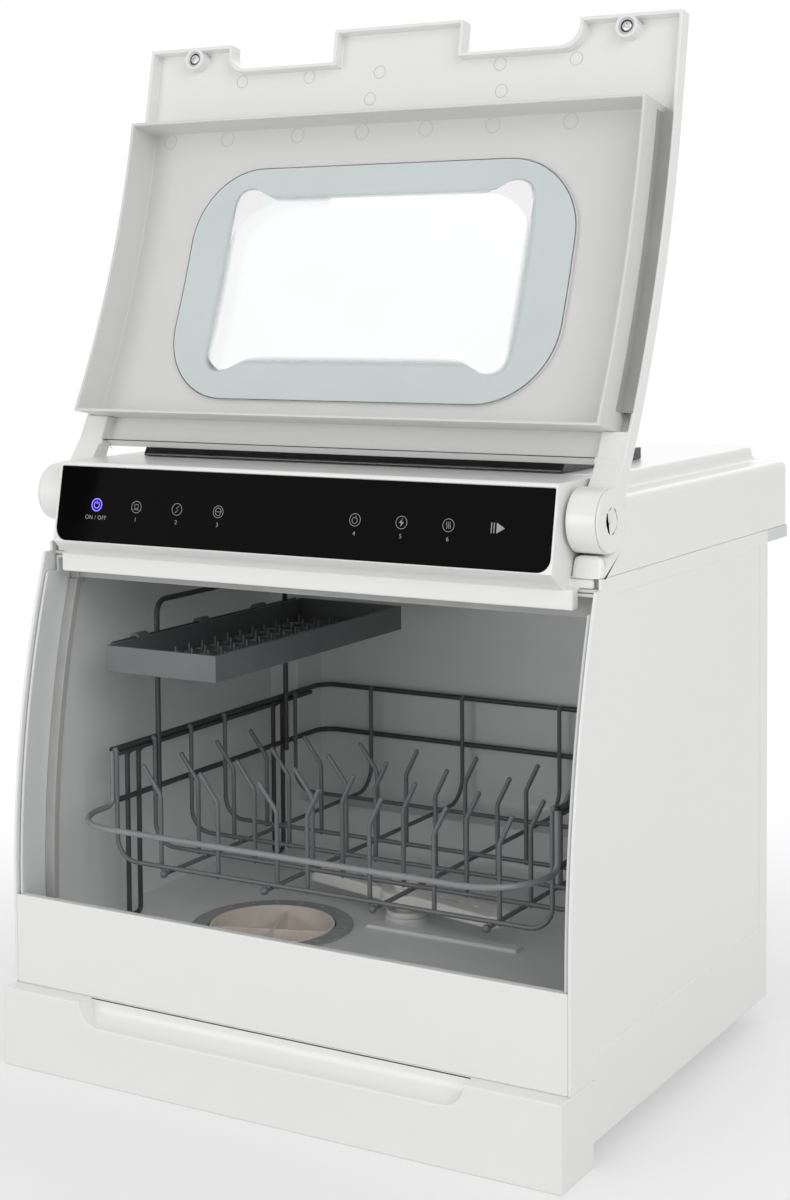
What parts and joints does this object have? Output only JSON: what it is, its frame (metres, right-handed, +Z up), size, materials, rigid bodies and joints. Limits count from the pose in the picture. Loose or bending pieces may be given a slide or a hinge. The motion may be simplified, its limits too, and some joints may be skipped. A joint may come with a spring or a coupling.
{
  "type": "countertop dishwasher",
  "caption": "Countertop dishwasher with a curved front door that swings up over the top, a wire rack, a cutlery tray, a round filter, a spray arm and a smoked lid on top.",
  "frame": {"origin": "on the ground under the middle of the overall width and depth", "axes": "+Z up, +Y towards the back, +X to the right of someone facing it"},
  "size_m": [0.4244, 0.381, 0.7069],
  "materials": {
    "white_shell": "gloss",
    "rear_plastic": "satin",
    "black_glass": "polished",
    "circuit": "matte",
    "bare_steel": "bright",
    "smoked_plastic": "see-through gloss",
    "inner_plastic": "satin",
    "tub_plastic": "satin",
    "seal_rubber": "matte",
    "filter_beige": "satin",
    "grey_plastic": "satin",
    "black_plastic": "satin",
    "pump_orange": "satin",
    "motor_steel": "satin",
    "coated_wire": "vinyl coated",
    "tray_plastic": "satin",
    "window_clear": "frosted border"
  },
  "bodies": {
    "cabinet": {"base_plinth": "white_shell", "board_tray": "grey_plastic", "catch_magnets": "black_plastic", "control_board": "circuit", "control_glass": "black_glass", "control_housing": "white_shell", "drain_hose": "seal_rubber", "drain_motor": "motor_steel", "drain_pump": "black_plastic", "drain_spigot": "grey_plastic", "fan_housing": "black_plastic", "feed_hose": "seal_rubber", "fill_funnel": "inner_plastic", "fill_hose": "seal_rubber", "filter_plate": "grey_plastic", "flow_heater": "motor_steel", "hinge_pins": "bare_steel", "hinge_springs": "bare_steel", "inlet_valve": "inner_plastic", "level_stem": "inner_plastic", "lower_front_panel": "white_shell", "motor_cradle": "seal_rubber", "power_board": "circuit", "power_inlet": "black_plastic", "pump_sleeve": "seal_rubber", "rack_rails": "coated_wire", "rear_feet": "seal_rubber", "rear_panel": "rear_plastic", "rear_screws": "bare_steel", "side_panel_left": "white_shell", "side_panel_right": "white_shell", "spray_arm_cap": "inner_plastic", "spray_post": "inner_plastic", "sump": "grey_plastic", "top_cover": "white_shell", "top_frame": "rear_plastic", "touch_springs": "bare_steel", "tub": "tub_plastic", "tub_gasket": "seal_rubber", "wash_motor": "motor_steel", "wash_pump_housing": "black_plastic", "water_tank": "inner_plastic"},
    "door": {"door_shell": "white_shell", "door_liner": "rear_plastic", "door_window": "window_clear", "outer_pane": "window_clear", "door_catch_screws": "bare_steel", "barrel_caps": "white_shell"},
    "rack": {"rack_frame": "coated_wire", "rack_bottom": "coated_wire", "rack_tines": "coated_wire", "tray_frame": "coated_wire"},
    "tray": {"cutlery_tray": "tray_plastic"},
    "filter": {"filter_basket": "filter_beige"},
    "spray": {"spray_arm": "inner_plastic"},
    "wash_rotor": {"wash_impeller": "pump_orange"},
    "drain_rotor": {"drain_impeller": "pump_orange"},
    "fan": {"fan_wheel": "black_plastic"},
    "float": {"level_float": "pump_orange"},
    "lid": {"fill_lid": "smoked_plastic"}
  },
  "joints": [
    {"name": "door_hinge", "type": "hinge", "parent": "cabinet", "child": "door", "pos_m": [0, -0.124, 0.3865], "axis": [-1, 0, 0], "range_deg": [-190.7, 0]},
    {"name": "rack_slide", "type": "slide", "parent": "cabinet", "child": "rack", "axis": [0, -1, 0], "range_m": [0, 0.18]},
    {"name": "tray_fold", "type": "hinge", "parent": "rack", "child": "tray", "pos_m": [-0.16795, -0.01, 0.281], "axis": [0, -1, 0], "range_deg": [0, 24]},
    {"name": "filter_twist", "type": "hinge", "parent": "cabinet", "child": "filter", "pos_m": [-0.077, -0.06, 0.07], "axis": [0, 0, 1], "range_deg": [0, 45]},
    {"name": "spray_arm_spin", "type": "hinge", "parent": "cabinet", "child": "spray", "pos_m": [0, -0.003, 0.098], "axis": [0, 0, 1], "continuous": true},
    {"name": "wash_pump_spin", "type": "hinge", "parent": "cabinet", "child": "wash_rotor", "pos_m": [-0.01, -0.06, 0.046], "axis": [1, 0, 0], "continuous": true},
    {"name": "drain_pump_spin", "type": "hinge", "parent": "cabinet", "child": "drain_rotor", "pos_m": [-0.135, -0.06, 0.046], "axis": [1, 0, 0], "continuous": true},
    {"name": "fan_spin", "type": "hinge", "parent": "cabinet", "child": "fan", "pos_m": [0.15, 0.077, 0.365], "axis": [0, 0, 1], "continuous": true},
    {"name": "float_lift", "type": "slide", "parent": "cabinet", "child": "float", "axis": [0, 0, 1], "range_m": [0, 0.024]},
    {"name": "lid_slide", "type": "slide", "parent": "cabinet", "child": "lid", "axis": [0, 1, 0], "range_m": [0, 0.095]}
  ]
}
